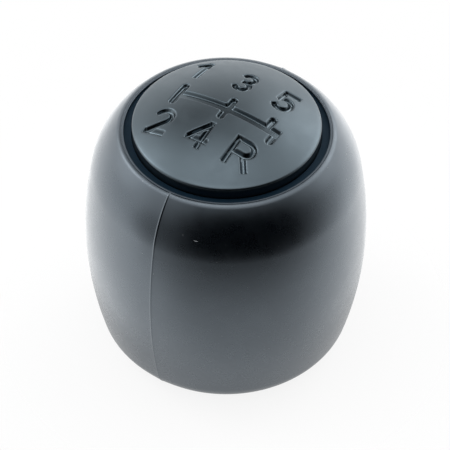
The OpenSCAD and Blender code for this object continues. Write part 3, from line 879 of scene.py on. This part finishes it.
dust = bpy.data.objects.new("dustSpecks", grip.data.copy())
bpy.context.scene.collection.objects.link(dust)
growTree(dust, dustTree(dustPaint(dustLook)), dustValues)
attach(dust, "root")
print("dust scattered:", len(dust.data.polygons), "faces")


# studio: white surround and soft boxes, dark room in front of the knob
studioValues = {              # metres and degrees, azimuths as for the camera
    "floorRadius": 0.078,     # where the floor has faded into the white surround
    "floorSolid": 0.025,      # inside which the floor is whole
    "floorMirrored": 0.039,   # where a gloss no longer sees it
    "floorSteps": 96,
    "floorGrey": 0.94,
    "floorRoughness": 0.9,
    "floorGlow": 0.88,        # share of the seen floor that is plain white
    "mirroredGlow": 0.55,     # the same for the floor as a gloss shows it
    "surround": 1.28,
    # elevations between which the dark room ends upwards and downwards
    "roomTop": (46.0, 80.0),
    "roomFoot": (-48.0, -17.0),
    # azimuth, elevation, angles from there to full and to no strength, gain
    "darkRoom": (45.0, 6.0, 36.0, 94.0, -1.0),
    "patches": {
        "frontTable": (31.0, -60.0, 25.0, 62.0, -0.36),
        "leftTable": (-84.0, -50.0, 28.0, 62.0, 0.3),
        "leftFrame": (-20.0, -6.0, 10.0, 30.0, -0.5),
        "leftWall": (-74.0, 27.0, 5.0, 23.0, 0.75),
        "leftShade": (-64.0, -21.0, 12.0, 32.0, -0.13),
        "rightWall": (112.0, -4.0, 12.0, 40.0, -0.15),
        "rightFar": (162.0, -14.0, 14.0, 38.0, 0.34),
        "rightHigh": (136.0, 27.0, 5.0, 23.0, 0.6),
        "backTable": (205.0, -13.0, 18.0, 46.0, 0.34),
        "leftCard": (-120.5, 49.0, 8.5, 23.0, -0.97),
        "backCard": (-152.0, 55.0, 6.0, 20.0, -0.8),
        "farCard": (-149.0, 28.0, 4.0, 15.0, -0.6),
        "rightCard": (-172.0, 58.0, 5.0, 19.0, -0.3),
        "leftGlow": (-92.0, 45.0, 7.0, 20.0, 2.4),
    },
    "lamps": {                # azimuth, elevation, distance, size, level
        "rightBox": (167.0, 36.0, 0.8, 0.5, 2.0),
        "topBox": (245.0, 82.0, 0.8, 0.40, 1.5),
    },
}


def seenDirectly(tree):
    # 1 for a ray from the camera, and 1 for that or a ray off a gloss or through a clear part
    light = addNode(tree, "ShaderNodeLightPath").outputs
    gloss = fieldMath(tree, "MAXIMUM", light["Is Glossy Ray"], light["Is Transmission Ray"])
    return light["Is Camera Ray"], fieldMath(tree, "MAXIMUM", light["Is Camera Ray"], gloss)


def mixShaders(tree, share, first, second):
    mixed = addNode(tree, "ShaderNodeMixShader")
    for socket, source in zip(mixed.inputs, (share, first, second)):
        tree.links.new(source, socket)
    return mixed.outputs[0]


def floorPaint(v):
    # part plain white and part lit, so that it keeps the shadow, and faded away further out
    material, tree, shader = newMaterial("floorPaint")
    shader.inputs["Base Color"].default_value = (v["floorGrey"], v["floorGrey"], v["floorGrey"], 1)
    shader.inputs["Roughness"].default_value = v["floorRoughness"]
    camera, seen = seenDirectly(tree)
    glow = fieldMath(tree, "MULTIPLY", seen, v["mirroredGlow"])
    glow = fieldMath(tree, "MULTIPLY_ADD", camera, v["floorGlow"] - v["mirroredGlow"], glow)
    white = addNode(tree, "ShaderNodeEmission").outputs[0]
    lit = mixShaders(tree, glow, shader.outputs[0], white)
    radius = axisDistance(tree, addNode(tree, "ShaderNodeTexCoord").outputs["Object"])
    fade = smoothRange(tree, radius, v["floorSolid"], v["floorRadius"])
    mirroredFade = smoothRange(tree, radius, v["floorSolid"], v["floorMirrored"])
    glossy = addNode(tree, "ShaderNodeLightPath").outputs["Is Glossy Ray"]
    below = addNode(tree, "ShaderNodeNewGeometry").outputs["Backfacing"]
    fade = fieldMath(tree, "MAXIMUM", fade, fieldMath(tree, "MULTIPLY", glossy, mirroredFade))
    fade = fieldMath(tree, "MAXIMUM", fade, below)
    clear = addNode(tree, "ShaderNodeBsdfTransparent").outputs[0]
    tree.links.new(mixShaders(tree, fade, lit, clear), tree.nodes["Material Output"].inputs["Surface"])
    return material


def buildFloor(v):
    count = v["floorSteps"]
    turns = [2 * math.pi * i / count for i in range(count)]
    rim = [(v["floorRadius"] * math.cos(t), v["floorRadius"] * math.sin(t), 0) for t in turns]
    floor = meshObject("floor", rim, [tuple(range(count))], smooth=False)
    paint(floor, floorPaint(v))


buildFloor(studioValues)


def patch(tree, direction, azimuth, elevation, full, none):
    # 1 in a round patch of the surroundings, fading to 0
    across = addNode(tree, "ShaderNodeVectorMath", operation="DOT_PRODUCT")
    tree.links.new(direction, across.inputs[0])
    across.inputs[1].default_value = aim(azimuth, elevation)
    near, far = (math.cos(math.radians(d)) for d in (full, none))
    return smoothRange(tree, across.outputs["Value"], far, near)


def buildWorld(v):
    # the surround times one factor for each patch, and plain white for the camera
    world = bpy.data.worlds.new("studio")
    bpy.context.scene.world = world
    world.use_nodes = True
    tree = world.node_tree
    direction = addNode(tree, "ShaderNodeTexCoord").outputs["Generated"]
    parts = addNode(tree, "ShaderNodeSeparateXYZ")
    tree.links.new(direction, parts.inputs[0])
    lowTop, highTop = (math.sin(math.radians(d)) for d in v["roomTop"])
    lowFoot, highFoot = (math.sin(math.radians(d)) for d in v["roomFoot"])
    *place, roomGain = v["darkRoom"]
    under = smoothRange(tree, parts.outputs["Z"], lowTop, highTop, 1.0, 0.0)
    over = smoothRange(tree, parts.outputs["Z"], lowFoot, highFoot)
    room = fieldMath(tree, "MULTIPLY", patch(tree, direction, *place), under)
    room = fieldMath(tree, "MULTIPLY", room, over)
    level = fieldMath(tree, "MULTIPLY_ADD", room, roomGain, 1.0)
    level = fieldMath(tree, "MULTIPLY", level, v["surround"])
    for *place, gain in v["patches"].values():
        factor = fieldMath(tree, "MULTIPLY_ADD", patch(tree, direction, *place), gain, 1.0)
        level = fieldMath(tree, "MULTIPLY", level, factor)
    plain = addNode(tree, "ShaderNodeMix")
    tree.links.new(seenDirectly(tree)[0], plain.inputs["Factor"])
    tree.links.new(level, plain.inputs["A"])
    plain.inputs["B"].default_value = 1.0
    background = tree.nodes["Background"]
    background.inputs["Color"].default_value = (1, 1, 1, 1)
    tree.links.new(plain.outputs["Result"], background.inputs["Strength"])


buildWorld(studioValues)


def addLamp(name, azimuth, elevation, distance, size, level):
    data = bpy.data.lights.new(name, "AREA")
    data.shape = "DISK"
    data.size = size
    data.energy = level * math.pi * math.pi * (size / 2) ** 2    # so that level is its radiance
    lamp = bpy.data.objects.new(name, data)
    bpy.context.scene.collection.objects.link(lamp)
    away = aim(azimuth, elevation)
    turn = away.to_track_quat("Z", "Y").to_matrix().to_4x4()
    lamp.matrix_world = Matrix.Translation(away * distance) @ turn


for lampName, lampValues in studioValues["lamps"].items():
    addLamp(lampName, *lampValues)

bpy.context.scene.view_settings.view_transform = "Standard"
print("studio lit:", len(studioValues["patches"]), "patches,", len(studioValues["lamps"]), "lamps")
